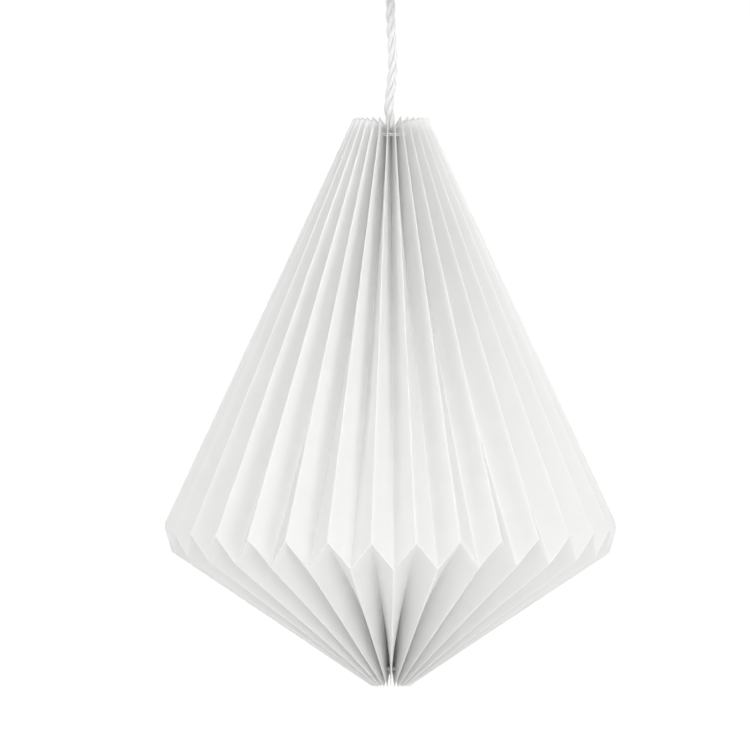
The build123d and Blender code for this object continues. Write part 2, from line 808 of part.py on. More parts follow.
with BuildPart() as led_board:
    with BuildSketch(Plane.XY.offset(collar_bottom)):
        Circle(board_radius)
    extrude(amount=-board_thickness)
led_board.part.label = "led_board"
export_step(led_board.part, "parts/led_board.step")

with BuildPart() as driver_board:
    with BuildSketch(Plane.XY.offset(collar_bottom)):
        Rectangle(driver_width, board_thickness)
    extrude(amount=driver_height)
driver_board.part.label = "driver_board"
export_step(driver_board.part, "parts/driver_board.step")

with BuildPart() as leds:
    with BuildSketch(Plane.XY.offset(collar_bottom - board_thickness)):
        with PolarLocations(led_circle_radius, led_count):
            Rectangle(led_width, led_width)
    extrude(amount=-led_height)
leds.part.label = "leds"
export_step(leds.part, "parts/leds.step")

print("shade top", shade_top, "belly", round(belly_height, 2), "bottom", round(shade_bottom, 2))
print("belly corner radius", round(corner_radius, 2), "lower fall", round(degrees(lower_fall), 2))
print("shade height", round(shade_top - shade_bottom, 1), "width", 2 * belly_radius)
sheet_height = upper.length + zigzag_drop + lower.length
print("flat sheet", round(pleat_count * panel_width, 1), "by", round(sheet_height, 1), "each")
print("strings at", round(top_ring_radius, 2), round(top_ring_height, 2))
print("and at", round(bottom_ring_radius, 2), round(bottom_ring_height, 2))
print("swing at", round(swing_height, 2), "shoulder at", round(shoulder_height, 2))
print("bulb from", round(bulb_tip_top, 2), "to", round(collar_bottom - bulb_radius, 2))
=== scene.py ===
"""Pleated paper pendant lantern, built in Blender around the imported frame.

Metres, in the frame's axes: +Z up, the ceiling face at zero, the front towards -Y.
"""
import json
import math
import random

import bpy
import numpy as np
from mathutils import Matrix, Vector


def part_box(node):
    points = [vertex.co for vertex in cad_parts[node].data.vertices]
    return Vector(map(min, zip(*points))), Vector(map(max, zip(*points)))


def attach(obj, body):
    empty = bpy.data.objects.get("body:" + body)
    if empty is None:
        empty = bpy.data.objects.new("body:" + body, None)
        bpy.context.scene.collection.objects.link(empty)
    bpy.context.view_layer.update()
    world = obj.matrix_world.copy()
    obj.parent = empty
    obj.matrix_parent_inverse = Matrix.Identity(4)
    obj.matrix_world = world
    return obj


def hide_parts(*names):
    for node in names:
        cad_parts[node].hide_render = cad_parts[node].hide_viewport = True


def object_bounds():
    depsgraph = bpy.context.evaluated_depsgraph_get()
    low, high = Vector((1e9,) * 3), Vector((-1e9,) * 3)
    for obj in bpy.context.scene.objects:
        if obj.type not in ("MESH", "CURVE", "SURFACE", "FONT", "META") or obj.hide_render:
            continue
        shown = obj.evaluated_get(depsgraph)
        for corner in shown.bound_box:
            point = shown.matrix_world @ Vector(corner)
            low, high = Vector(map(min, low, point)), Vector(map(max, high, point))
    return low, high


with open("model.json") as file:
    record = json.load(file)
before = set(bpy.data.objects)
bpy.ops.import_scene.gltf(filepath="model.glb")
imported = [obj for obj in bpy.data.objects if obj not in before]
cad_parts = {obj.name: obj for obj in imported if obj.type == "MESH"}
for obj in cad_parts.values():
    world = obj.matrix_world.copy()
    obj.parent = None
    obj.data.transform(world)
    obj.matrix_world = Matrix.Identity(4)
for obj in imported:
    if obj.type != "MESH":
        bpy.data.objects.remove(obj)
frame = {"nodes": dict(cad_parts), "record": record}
cad_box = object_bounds()

MM = 0.001
random.seed(41)
uneven = np.random.default_rng(41)

# ---------------------------------------------------------------- sizes of the folded paper
PLEATS = 32
PANEL_WIDTH = 20.0 * MM
ZIGZAG_DROP = 14.3 * MM
BELLY_RADIUS = 156.5 * MM
UPPER_SLOPE = math.radians(24.9)
TOP_HOLE_RADIUS = 8.1 * MM
BOTTOM_HOLE_RADIUS = 1.9 * MM
PAPER_THICKNESS = 0.3 * MM
FRONT_TURN = 0.8                 # degrees that the front crease stands right of -Y
STRING_EDGE_DISTANCE = 7.0 * MM
CREASE_REACH = 0.9 * MM          # how far the paper bends on each side of a crease
GLUE_TAB_SHARE = 0.55            # of a panel's width

shade_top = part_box("paper_sheet_front")[1].z

HALF_PITCH = math.pi / PLEATS
PITCH_COS = math.cos(HALF_PITCH)
PITCH_SIN = math.sin(HALF_PITCH)


# ---------------------------------------------------------------- small helpers
def srgb(red, green, blue):
    """A linear colour with alpha from sRGB shares."""
    channels = []
    for value in (red, green, blue):
        channels.append(value / 12.92 if value <= 0.04045 else ((value + 0.055) / 1.055) ** 2.4)
    return (*channels, 1.0)


def new_object(name, vertices, faces, material, body):
    """A mesh piece that rides on a body of the frame."""
    mesh = bpy.data.meshes.new(name)
    mesh.from_pydata([tuple(v) for v in vertices], [], faces)
    mesh.update()
    obj = bpy.data.objects.new(name, mesh)
    bpy.context.scene.collection.objects.link(obj)
    mesh.materials.append(material)
    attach(obj, body)
    return obj


def smooth(obj, angle):
    """Smooth shading that keeps edges sharper than an angle."""
    mesh = obj.data
    mesh.polygons.foreach_set("use_smooth", [True] * len(mesh.polygons))
    mesh.set_sharp_from_angle(angle=math.radians(angle))


# ---------------------------------------------------------------- materials
class Shader:
    """A node material on one Principled shader, with its noise in object coordinates."""

    def __init__(self, name, roughness, metallic=0.0):
        self.material = bpy.data.materials.new(name)
        self.material.use_nodes = True
        self.tree = self.material.node_tree
        self.principled = self.tree.nodes["Principled BSDF"]
        self.principled.inputs["Roughness"].default_value = roughness
        self.principled.inputs["Metallic"].default_value = metallic
        self.coordinates = self.tree.nodes.new("ShaderNodeTexCoord")

    def node(self, kind, **inputs):
        made = self.tree.nodes.new(kind)
        for name, value in inputs.items():
            made.inputs[name.replace("_", " ")].default_value = value
        return made

    def link(self, source, target):
        self.tree.links.new(source, target)

    def set(self, name, value):
        self.principled.inputs[name].default_value = value

    def noise(self, scale, detail=4.0, roughness=0.5, stretch=None):
        """Noise in object coordinates; scale is in features per metre."""
        texture = self.node("ShaderNodeTexNoise", Scale=scale, Detail=detail, Roughness=roughness)
        source = self.coordinates.outputs["Object"]
        if stretch:
            mapping = self.node("ShaderNodeMapping", Scale=stretch)
            self.link(source, mapping.inputs["Vector"])
            source = mapping.outputs["Vector"]
        self.link(source, texture.inputs["Vector"])
        return texture.outputs["Fac"]

    def ramp(self, factor, stops):
        """Colours along a factor; stops are (position, colour)."""
        ramp = self.tree.nodes.new("ShaderNodeValToRGB")
        while len(ramp.color_ramp.elements) < len(stops):
            ramp.color_ramp.elements.new(0.5)
        for element, (position, colour) in zip(ramp.color_ramp.elements, stops):
            element.position = position
            element.color = colour
        self.link(factor, ramp.inputs["Fac"])
        return ramp.outputs["Color"]

    def math(self, operation, *values):
        """One arithmetic operation on numbers or other nodes' outputs."""
        node = self.tree.nodes.new("ShaderNodeMath")
        node.operation = operation
        for socket, value in zip(node.inputs, values):
            if isinstance(value, (int, float)):
                socket.default_value = value
            else:
                self.link(value, socket)
        return node.outputs["Value"]

    def mix(self, factor, first, second):
        """One colour turning into another with a factor."""
        node = self.tree.nodes.new("ShaderNodeMix")
        node.data_type = "RGBA"
        for index, value in ((0, factor), (6, first), (7, second)):
            if isinstance(value, (tuple, int, float)):
                node.inputs[index].default_value = value
            else:
                self.link(value, node.inputs[index])
        return node.outputs[2]

    def colour(self, source):
        self.link(source, self.principled.inputs["Base Color"])

    def ease(self, value, start, end, low=0.0, high=1.0):
        """A smooth step from low to high as a value goes from start to end."""
        step = self.node(
            "ShaderNodeMapRange", From_Min=start, From_Max=end, To_Min=low, To_Max=high
        )
        step.interpolation_type = "SMOOTHSTEP"
        self.link(value, step.inputs["Value"])
        return step.outputs["Result"]

    def roughness(self, factor, low, high):
        scaled = self.math("MULTIPLY_ADD", factor, high - low, low)
        self.link(scaled, self.principled.inputs["Roughness"])

    def bump(self, height, strength, distance):
        bump = self.node("ShaderNodeBump", Strength=strength, Distance=distance)
        self.link(height, bump.inputs["Height"])
        self.link(bump.outputs["Normal"], self.principled.inputs["Normal"])


# How far down from the rim the paper is painted whiter as painted light.
PAINTED_LIGHT_REACH = 118.0 * MM          # down from the rim


def paper_material():
    """Uncoated white paper: faint fibres and clouding, creases painted lighter as a painted
    highlight with some broken fibres, and the top painted whiter for the light that comes through
    it.
    """
    shader = Shader("folded_white_paper", 0.86)
    shader.set("Specular IOR Level", 0.25)
    clouds = shader.noise(55, 5, 0.6)
    fibres = shader.noise(2600, 3, 0.7)
    tone = shader.math("MULTIPLY_ADD", fibres, 0.35, clouds)
    body = shader.ramp(tone, [(0.35, srgb(0.888, 0.888, 0.883)), (0.95, srgb(0.904, 0.904, 0.900))])
    # Painted light: the top is painted whiter for the light that comes through its crowded panels.
    pale = shader.ramp(tone, [(0.35, srgb(0.912, 0.912, 0.908)), (0.95, srgb(0.928, 0.928, 0.925))])
    split = shader.node("ShaderNodeSeparateXYZ")
    shader.link(shader.coordinates.outputs["Object"], split.inputs["Vector"])
    painted_top_light = shader.ease(split.outputs["Z"], shade_top - PAINTED_LIGHT_REACH, shade_top)
    body = shader.mix(painted_top_light, body, pale)
    crease = shader.node("ShaderNodeAttribute")
    crease.attribute_name = "crease"
    # Painted highlight with some wear: the creases are painted lighter, most where they fold
    # outwards.
    lit_and_worn = shader.math("MULTIPLY", crease.outputs["Fac"], shader.math("ADD", fibres, 0.4))
    shader.colour(shader.mix(lit_and_worn, body, srgb(0.928, 0.928, 0.926)))
    shader.roughness(fibres, 0.78, 0.94)
    shader.bump(shader.math("MULTIPLY_ADD", clouds, 0.5, fibres), 0.12, 0.12 * MM)
    return shader.material


def textile_material(name, light, dark, around, along):
    """A braided or twisted yarn, from the piece's own map: around it and along it."""
    shader = Shader(name, 0.9)
    shader.set("Sheen Weight", 0.08)
    shader.set("Sheen Roughness", 0.5)
    split = shader.node("ShaderNodeSeparateXYZ")
    shader.link(shader.coordinates.outputs["UV"], split.inputs["Vector"])
    turns = shader.math("MULTIPLY", split.outputs["X"], around)
    length = shader.math("MULTIPLY", split.outputs["Y"], along)
    waves = []
    for operation in ("ADD", "SUBTRACT"):
        phase = shader.math(operation, turns, length)
        waves.append(shader.math("SINE", shader.math("MULTIPLY", phase, 2 * math.pi)))
    braid = shader.math("MULTIPLY_ADD", shader.math("MULTIPLY", *waves), 0.5, 0.5)
    fuzz = shader.noise(1800, 4, 0.7)
    height = shader.math("MULTIPLY_ADD", fuzz, 0.5, braid)
    # Painted shade: the colour follows the bump's height, so the yarn is painted darker in the
    # hollows of the braid and lighter on its crowns, with fuzz mixed in.
    shader.colour(shader.ramp(height, [(0.1, dark), (0.95, light)]))
    shader.bump(height, 0.45, 0.25 * MM)
    return shader.material


def plain_material(name, colour, roughness, grain=900.0, depth=0.01 * MM, spread=0.03):
    """Moulded or painted stock: slight clouding of colour, and gloss broken by a fine grain.

    The grain is in features per metre, and the spread is the clouding's share of the colour.
    """
    shader = Shader(name, roughness)
    clouds = shader.noise(70, 3, 0.5)
    fine = shader.noise(grain, 4, 0.6)
    lighter = tuple(min(1.0, c * (1 + spread)) for c in colour[:3]) + (1.0,)
    darker = tuple(c * (1 - spread) for c in colour[:3]) + (1.0,)
    shader.colour(shader.ramp(clouds, [(0.3, darker), (0.7, lighter)]))
    shader.roughness(fine, roughness * 0.82, min(1.0, roughness * 1.15))
    shader.bump(fine, 0.3, depth)
    return shader.material


def brushed_material(name, colour, roughness, stretch):
    """Plated or drawn metal, with fine lines along one direction."""
    shader = Shader(name, roughness, 1.0)
    lines = shader.noise(900, 4, 0.65, stretch)
    clouds = shader.noise(90, 3, 0.5)
    darker = tuple(c * 0.86 for c in colour[:3]) + (1.0,)
    shader.colour(shader.ramp(clouds, [(0.25, darker), (0.75, colour)]))
    shader.roughness(lines, roughness * 0.7, roughness * 1.4)
    shader.bump(lines, 0.25, 0.04 * MM)
    return shader.material


PAPER = paper_material()
CORD_TEXTILE = textile_material(
    "braided_flex", srgb(0.94, 0.94, 0.937), srgb(0.885, 0.885, 0.882), around=7.0, along=1500.0
)
STRING_YARN = textile_material(
    "cotton_string", srgb(0.985, 0.98, 0.97), srgb(0.88, 0.875, 0.86), around=3.0, along=1400.0
)
SLOT_MATERIALS = {
    "cup_enamel": plain_material(
        "cup_enamel", srgb(0.875, 0.875, 0.87), 0.38, grain=500, depth=0.02 * MM, spread=0.01
    ),
    "plated_steel": brushed_material("plated_steel", srgb(0.8, 0.8, 0.81), 0.34, (1, 14, 14)),
    "white_plastic": plain_material("white_plastic", srgb(0.9, 0.9, 0.895), 0.5, grain=1200),
    "terminal_plastic": plain_material("terminal_plastic", srgb(0.86, 0.86, 0.82), 0.45),
    "brass_parts": brushed_material("brass_parts", srgb(0.86, 0.72, 0.42), 0.3, (10, 1, 10)),
    "lead_sheath": plain_material("lead_sheath", srgb(0.4, 0.42, 0.47), 0.42),
    "porcelain": plain_material(
        "porcelain", srgb(0.9, 0.89, 0.865), 0.16, grain=160, depth=0.02 * MM, spread=0.015
    ),
    "nickel_shell": brushed_material("nickel_shell", srgb(0.85, 0.84, 0.815), 0.22, (1, 1, 18)),
    "opal_diffuser": plain_material("opal_diffuser", srgb(0.925, 0.923, 0.91), 0.4, grain=700),
    "black_insulator": plain_material("black_insulator", srgb(0.05, 0.05, 0.055), 0.18),
    "bulb_plastic": plain_material("bulb_plastic", srgb(0.885, 0.885, 0.88), 0.28, grain=800),
    "circuit_board": plain_material("circuit_board", srgb(0.09, 0.36, 0.2), 0.35, grain=1600),
    "board_aluminium": plain_material("board_aluminium", srgb(0.9, 0.9, 0.905), 0.4, grain=1500),
    "led_phosphor": plain_material("led_phosphor", srgb(0.96, 0.83, 0.35), 0.3),
}


# ---------------------------------------------------------------- camera
# Four degrees above the lantern and far away, as with a long lens; the lantern's axis
# stands a little right of the middle of the picture.
CAMERA_DISTANCE = 10.0
CAMERA_ELEVATION = math.radians(4.05)
CAMERA_AIM = Vector((-10.8 * MM, 0.0, shade_top - 177.3 * MM))
VIEW_WIDTH = 516.0 * MM
SENSOR_WIDTH = 36.0

camera_data = bpy.data.cameras.new("camera")
camera = bpy.data.objects.new("camera", camera_data)
bpy.context.scene.collection.objects.link(camera)
camera_data.sensor_width = SENSOR_WIDTH
camera_data.lens = SENSOR_WIDTH * CAMERA_DISTANCE / VIEW_WIDTH
camera_data.clip_end = 200.0
away = Vector((0.0, -math.cos(CAMERA_ELEVATION), math.sin(CAMERA_ELEVATION)))
camera.location = CAMERA_AIM + away * CAMERA_DISTANCE
camera.rotation_mode = "QUATERNION"
camera.rotation_quaternion = (-away).to_track_quat("-Z", "Y")
bpy.context.scene.camera = camera

# ---------------------------------------------------------------- cord
# The route's points are those of the frame's cord: pulled tight, with the set of its twist.
TWIST_RADIUS = 3.45 * MM         # over the crowns of the strands
SWING_HEIGHT = -40.0             # millimetres, like the whole route
CORD_BOTTOM = -147.51
CORD_ROUTE = [
    (0, 0, SWING_HEIGHT),
    (-0.3, 0.1, SWING_HEIGHT - 18),
    (0.4, 0.2, SWING_HEIGHT - 36),
    (1.7, 0, SWING_HEIGHT - 54),
    (0.6, -0.2, SWING_HEIGHT - 71),
    (-1.7, -0.1, SWING_HEIGHT - 86),
    (0, 0, CORD_BOTTOM + 9),
    (0, 0, CORD_BOTTOM),
]
STRANDS = 3
STRAND_PITCH = 32.0 * MM
STRAND_RADIUS = TWIST_RADIUS / (1 + 2 / math.sqrt(3))
STRAND_REACH = TWIST_RADIUS - STRAND_RADIUS
STRAND_SIDES = 20
TWIST_START = 0.08               # of a turn
GRIP_SHARE = 0.9                 # of the twist's size, where the cup's cord grip holds it
LOOSE_FROM = 14.0 * MM           # along the cord
CORD_STEP = 0.7 * MM
SWELL = 0.02                     # of a strand's radius
SWELL_LENGTH = 2.2 * MM          # from one swelling of a strand to the next


def route_points(name, points, closed=False):
    """Points along the smooth NURBS line through a route's control points."""
    data = bpy.data.curves.new(name, "CURVE")
    data.dimensions = "3D"
    spline = data.splines.new("NURBS")
    spline.points.add(len(points) - 1)
    for place, point in zip(spline.points, points):
        place.co = (*point, 1.0)
    spline.order_u = 3
    spline.use_cyclic_u = closed
    spline.use_endpoint_u = not closed
    spline.resolution_u = 24
    obj = bpy.data.objects.new(name, data)
    bpy.context.scene.collection.objects.link(obj)
    mesh = bpy.data.meshes.new_from_object(obj)
    line = np.array([v.co[:] for v in mesh.vertices])
    bpy.data.objects.remove(obj)
    bpy.data.meshes.remove(mesh)
    return line


def even_points(line, step, closed=False):
    """The line's points again, an even step apart, and the length to each."""
    if closed:
        line = np.vstack([line, line[:1]])
    runs = np.linalg.norm(np.diff(line, axis=0), axis=1)
    along = np.concatenate([[0.0], np.cumsum(runs)])
    count = max(8, int(along[-1] / step))
    marks = np.linspace(0.0, along[-1], count + 1)
    points = np.column_stack([np.interp(marks, along, line[:, axis]) for axis in range(3)])
    if closed:
        return points[:-1], marks[:-1], along[-1]
    return points, marks, along[-1]


def frames_along(points, closed=False):
    """Two directions square to the line at each point, carried along it without a twist."""
    if closed:
        tangents = np.roll(points, -1, axis=0) - np.roll(points, 1, axis=0)
    else:
        tangents = np.gradient(points, axis=0)
    tangents /= np.linalg.norm(tangents, axis=1)[:, None]
    start = np.array([1.0, 0.0, 0.0]) if abs(tangents[0][0]) < 0.8 else np.array([0.0, 0.0, 1.0])
    first = []
    current = start
    for tangent in tangents:
        current = current - tangent * current.dot(tangent)
        current = current / np.linalg.norm(current)
        first.append(current)
    first = np.array(first)
    return first, np.cross(tangents, first)


class Tubes:
    """Collects round strands into one mesh, with a map around and along each."""

    def __init__(self):
        self.vertices = []
        self.faces = []
        self.uvs = []

    def add(self, points, marks, radii, sides, closed=False):
        first, second = frames_along(points, closed)
        base = len(self.vertices)
        rings = len(points)
        for index in range(rings):
            for side in range(sides):
                turn = 2 * math.pi * side / sides
                way = first[index] * math.cos(turn) + second[index] * math.sin(turn)
                self.vertices.append(points[index] + way * radii[index])
        spans = rings if closed else rings - 1
        step = marks[1] - marks[0]
        for index in range(spans):
            after = (index + 1) % rings
            for side in range(sides):
                beside = (side + 1) % sides
                self.faces.append((
                    base + index * sides + side, base + index * sides + beside,
                    base + after * sides + beside, base + after * sides + side,
                ))
                low, high = marks[index], marks[index] + step
                left, right = side / sides, (side + 1) / sides
                self.uvs += [(left, low), (right, low), (right, high), (left, high)]
        if not closed:
            for index, order in ((0, -1), (rings - 1, 1)):
                loop = [base + index * sides + side for side in range(sides)][::order]
                self.faces.append(tuple(loop))
                self.uvs += [(side / sides, marks[index]) for side in range(sides)]

    def object(self, name, material, body):
        obj = new_object(name, self.vertices, self.faces, material, body)
        layer = obj.data.uv_layers.new(name="strand")
        layer.data.foreach_set("uv", np.array(self.uvs, float).ravel())
        smooth(obj, 60)
        return obj


def twisted(tubes, points, marks, count, reach, radius, pitch, sides, phase=0.0, closed=False):
    """Strands laid in a right-hand twist about a line."""
    first, second = frames_along(points, closed)
    for strand in range(count):
        turns = phase + strand / count
        angles = 2 * math.pi * (marks / pitch + turns)
        centre = points + reach * (
            first * np.cos(angles)[:, None] + second * np.sin(angles)[:, None]
        )
        swell = radius * (1 + SWELL * np.sin(marks / SWELL_LENGTH * 2 * math.pi + strand))
        tubes.add(centre, marks, swell, sides, closed)


def make_cord():
    route = [tuple(value * MM for value in point) for point in CORD_ROUTE]
    line, marks, length = even_points(route_points("cord_route", route), CORD_STEP)
    tubes = Tubes()
    loose = GRIP_SHARE + (1 - GRIP_SHARE) * np.clip(marks / LOOSE_FROM, 0.0, 1.0)
    reach = (STRAND_REACH * loose)[:, None]
    radius = STRAND_RADIUS * loose
    twisted(tubes, line, marks, STRANDS, reach, radius, STRAND_PITCH, STRAND_SIDES, TWIST_START)
    cord = tubes.object("twisted_cord", CORD_TEXTILE, "cord")
    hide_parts("cord")


make_cord()


# ---------------------------------------------------------------- folded paper
def inner_radius(outer, slope):
    """Radius of the inner fold, a panel's width away from an outer fold, square to the crease."""
    stretch = 1 / math.cos(slope) ** 2
    square = stretch * PITCH_COS ** 2 + PITCH_SIN ** 2
    half_linear = stretch * PITCH_COS * outer
    constant = stretch * outer ** 2 - PANEL_WIDTH ** 2
    return (half_linear - math.sqrt(half_linear ** 2 - square * constant)) / square


def outer_radius(inner, slope):
    """Radius of the outer fold that stands over a given inner fold."""
    across = math.sqrt(PANEL_WIDTH ** 2 - (inner * PITCH_SIN) ** 2)
    return inner * PITCH_COS + math.cos(slope) * across


class Zone:
    """The upper or the lower cone of folds, from the belly to its end.

    Its outer and inner folds are given as (radius, height) at a distance from the belly.
    """

    def __init__(self, radius, height, slope, side, hole):
        self.radius, self.height, self.slope, self.side = radius, height, slope, side
        self.length = (radius - outer_radius(hole, slope)) / math.sin(slope)

    def outer(self, distance):
        radius = self.radius - distance * math.sin(self.slope)
        return radius, self.height + self.side * distance * math.cos(self.slope)

    def inner(self, distance):
        outer, height = self.outer(distance)
        inner = inner_radius(outer, self.slope)
        return inner, height - self.side * (outer - inner * PITCH_COS) * math.tan(self.slope)


upper_length = (BELLY_RADIUS - outer_radius(TOP_HOLE_RADIUS, UPPER_SLOPE)) / math.sin(UPPER_SLOPE)
belly_height = shade_top - upper_length * math.cos(UPPER_SLOPE)
upper = Zone(BELLY_RADIUS, belly_height, UPPER_SLOPE, 1, TOP_HOLE_RADIUS)
corner_radius, corner_height = upper.inner(-ZIGZAG_DROP)
corner_inset = BELLY_RADIUS * PITCH_COS - corner_radius
corner_drop = belly_height - corner_height
lower_fall = math.atan2(corner_drop, corner_inset) - math.acos(
    ZIGZAG_DROP / math.hypot(corner_inset, corner_drop)
)
lower = Zone(corner_radius, corner_height, math.pi / 2 - lower_fall, -1, BOTTOM_HOLE_RADIUS)


def wander(count, size, reach):
    """A smooth random line of a given size, with a bend about every reach points."""
    knots = uneven.normal(0.0, size, max(4, int(count / reach) + 3))
    places = np.linspace(0, len(knots) - 1, count)
    return np.interp(places, np.arange(len(knots)), knots)


# One small unevenness for each of the lantern's creases, so that both sheets meet.
COLUMNS = 2 * PLEATS
turn_error = uneven.normal(0.0, 0.10, COLUMNS)           # degrees
height_error = uneven.normal(0.0, 0.25 * MM, COLUMNS)
radius_error = uneven.normal(0.0, 0.2 * MM, COLUMNS)
ERROR_RADIUS = 60.0 * MM         # nearer the axis than this the errors are smaller

ROWS_ABOVE = 34
ROWS_BELOW = 20
BELLY_ROW = ROWS_ABOVE


def column_line(column):
    """Points down one crease: the upper zone, the belly corner, the lower zone."""
    upward = column % 2 == 0
    above = upper.outer if upward else upper.inner
    below = lower.inner if upward else lower.outer
    upper_start = 0.0 if upward else -ZIGZAG_DROP
    lower_start = -ZIGZAG_DROP if upward else 0.0
    spots = []
    for share in np.linspace(0, 1, ROWS_ABOVE):
        spots.append(above(upper.length + (upper_start - upper.length) * share))
    # One row just above the belly and one just below it carry the zigzag's bend.
    spots.insert(-1, above(upper_start + CREASE_REACH))
    spots.append(below(lower_start + CREASE_REACH))
    for share in np.linspace(0, 1, ROWS_BELOW)[1:]:
        spots.append(below(lower_start + (lower.length - lower_start) * share))
    index = column % COLUMNS
    angle = -90 + FRONT_TURN + (column + 1) * math.degrees(HALF_PITCH) + turn_error[index]
    turn = math.radians(angle)
    points = []
    for radius, height in spots:
        ease = min(1.0, radius / ERROR_RADIUS)
        radius += radius_error[index] * ease
        height += height_error[index] * ease
        points.append((radius * math.cos(turn), radius * math.sin(turn), height))
    return np.array(points)


TAB_OFFSET = 1.15 * PAPER_THICKNESS
TAB_COLUMNS = 5
ACROSS = 5                       # columns across a panel, between its bent edges
BOW = 0.35 * MM
BOW_ROWS = 12                    # from one bend of the bow to the next
FLAT_RADIUS = 20.0 * MM          # within this radius the panels are too close to bow
BOW_EASE = 90.0 * MM

# A crease is rounded over three columns, in shares of the near line, the crease and beyond.
SHOULDER_SHARES = (0.5625, 0.375, 0.0625)
CREASE_SHARES = (0.25, 0.5, 0.25)
# Painted highlight and wear: how much lighter the paper is painted on and beside each crease.
CREASE_HIGHLIGHT_WEAR = 1.0
SHOULDER_HIGHLIGHT_WEAR = 0.75
NEAR_HIGHLIGHT_WEAR = 0.2
INWARD_HIGHLIGHT_WEAR = 0.15               # of the painted highlight and wear of a fold that points outwards


def panel_normal(left, right):
    """Directions square to a panel, at each of its rows, into the lantern."""
    down = np.gradient((left + right) / 2, axis=0)
    normal = np.cross(right - left, down)
    return normal / np.linalg.norm(normal, axis=1)[:, None]


def panel_bow(rows, radius):
    """How far each row of a panel bellies out of flat, less where the panels are close."""
    ease = np.clip((radius - FLAT_RADIUS) / BOW_EASE, 0.0, 1.0)
    return wander(rows, BOW, BOW_ROWS) * ease


def blend(shares, *lines):
    """Lines of points mixed in the given shares."""
    return sum(share * line for share, line in zip(shares, lines))


def sheet_grid(first_column):
    """The paper's mid-surface, as columns of points across its panels and a glue tab.

    Beside the points it gives each column's painted highlight and wear, and whether its crease
    points outwards above the belly.
    """
    lines = [column_line(first_column + step) for step in range(-1, PLEATS + 2)]
    columns, highlight_wear, upward = [], [], []

    def add(points, lit_and_worn, is_upward):
        columns.append(points)
        highlight_wear.append(lit_and_worn)
        upward.append(is_upward)

    share_near = CREASE_REACH / PANEL_WIDTH
    inside = np.linspace(share_near, 1 - share_near, ACROSS + 2)[1:-1]
    for panel in range(PLEATS):
        before, left, right, after = lines[panel:panel + 4]
        span = right - left
        radius = np.linalg.norm((left + right)[:, :2] / 2, axis=1)
        normal = panel_normal(left, right)
        bow = panel_bow(len(left), radius)
        left_up = (first_column + panel) % 2 == 0
        near_left = left + span * share_near
        near_right = right - span * share_near
        beside_left = left + (before - left) * share_near
        beside_right = right + (after - right) * share_near
        if panel == 0:
            add(left, CREASE_HIGHLIGHT_WEAR, left_up)
            beside_left = near_left
        add(blend(SHOULDER_SHARES, near_left, left, beside_left), SHOULDER_HIGHLIGHT_WEAR, left_up)
        add(near_left, NEAR_HIGHLIGHT_WEAR, left_up)
        for share in inside:
            bulge = bow * 4 * share * (1 - share)
            add(left + span * share + normal * bulge[:, None], 0.0, left_up)
        add(near_right, NEAR_HIGHLIGHT_WEAR, not left_up)
        add(blend(SHOULDER_SHARES, near_right, right, beside_right), SHOULDER_HIGHLIGHT_WEAR, not left_up)
        add(blend(CREASE_SHARES, near_right, right, beside_right), CREASE_HIGHLIGHT_WEAR, not left_up)
    # The glue tab lies inside the next sheet's first panel.
    left, right = lines[PLEATS + 1], lines[PLEATS + 2]
    inward = panel_normal(left, right) * TAB_OFFSET
    for share in np.linspace(share_near, GLUE_TAB_SHARE, TAB_COLUMNS):
        add(left + (right - left) * share + inward, 0.0, False)
    grid = np.array(columns)
    # The zigzag crease is rounded the same way as the straight ones.
    above, below = grid[:, BELLY_ROW - 1], grid[:, BELLY_ROW + 1]
    grid[:, BELLY_ROW] = 0.5 * grid[:, BELLY_ROW] + 0.25 * (above + below)
    return grid, highlight_wear, upward


def crease_highlight_wear(highlight_wear, upward, rows):
    """The painted highlight and wear of each point: paper is painted lighter where it is folded
    outwards, for its highlight and broken fibres: at the upward creases above the belly and at the
    others below it."""
    lit_and_worn = np.repeat(np.array(highlight_wear), rows).reshape(-1, rows)
    ridge = np.repeat(np.array(upward), rows).reshape(-1, rows)
    ridge[:, BELLY_ROW:] = ~ridge[:, BELLY_ROW:]
    lit_and_worn = np.where(ridge, lit_and_worn, lit_and_worn * INWARD_HIGHLIGHT_WEAR)
    lit_and_worn[:, BELLY_ROW] = CREASE_HIGHLIGHT_WEAR
    for row in (BELLY_ROW - 1, BELLY_ROW + 1):
        lit_and_worn[:, row] = np.maximum(lit_and_worn[:, row], NEAR_HIGHLIGHT_WEAR)
    return lit_and_worn


def make_sheet(name, node, first_column):
    grid, highlight_wear, upward = sheet_grid(first_column)
    count, rows = grid.shape[:2]
    faces = []
    for column in range(count - 1):
        for row in range(rows - 1):
            base = column * rows + row
            faces.append((base, base + 1, base + rows + 1, base + rows))
    sheet = new_object(name, grid.reshape(-1, 3), faces, PAPER, "shade")
    layer = sheet.data.attributes.new("crease", "FLOAT", "POINT")
    layer.data.foreach_set("value", crease_highlight_wear(highlight_wear, upward, rows).ravel())
    solid = sheet.modifiers.new("thickness", "SOLIDIFY")
    solid.thickness = PAPER_THICKNESS
    solid.offset = 0.0
    depsgraph = bpy.context.evaluated_depsgraph_get()
    mesh = bpy.data.meshes.new_from_object(sheet.evaluated_get(depsgraph))
    sheet.modifiers.clear()
    sheet.data = mesh
    smooth(sheet, 45)
    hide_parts(node)


make_sheet("folded_sheet_front", "paper_sheet_front", -PLEATS // 2 - 1)
make_sheet("folded_sheet_back", "paper_sheet_back", PLEATS // 2 - 1)


# ---------------------------------------------------------------- gathering strings
YARN_RADIUS = 0.28 * MM
YARN_REACH = 0.95 * YARN_RADIUS
YARN_PITCH = 2.6 * MM
YARN_SIDES = 8
STRING_GAP = 1.15 * MM           # between the two turns
SPOKES = 64
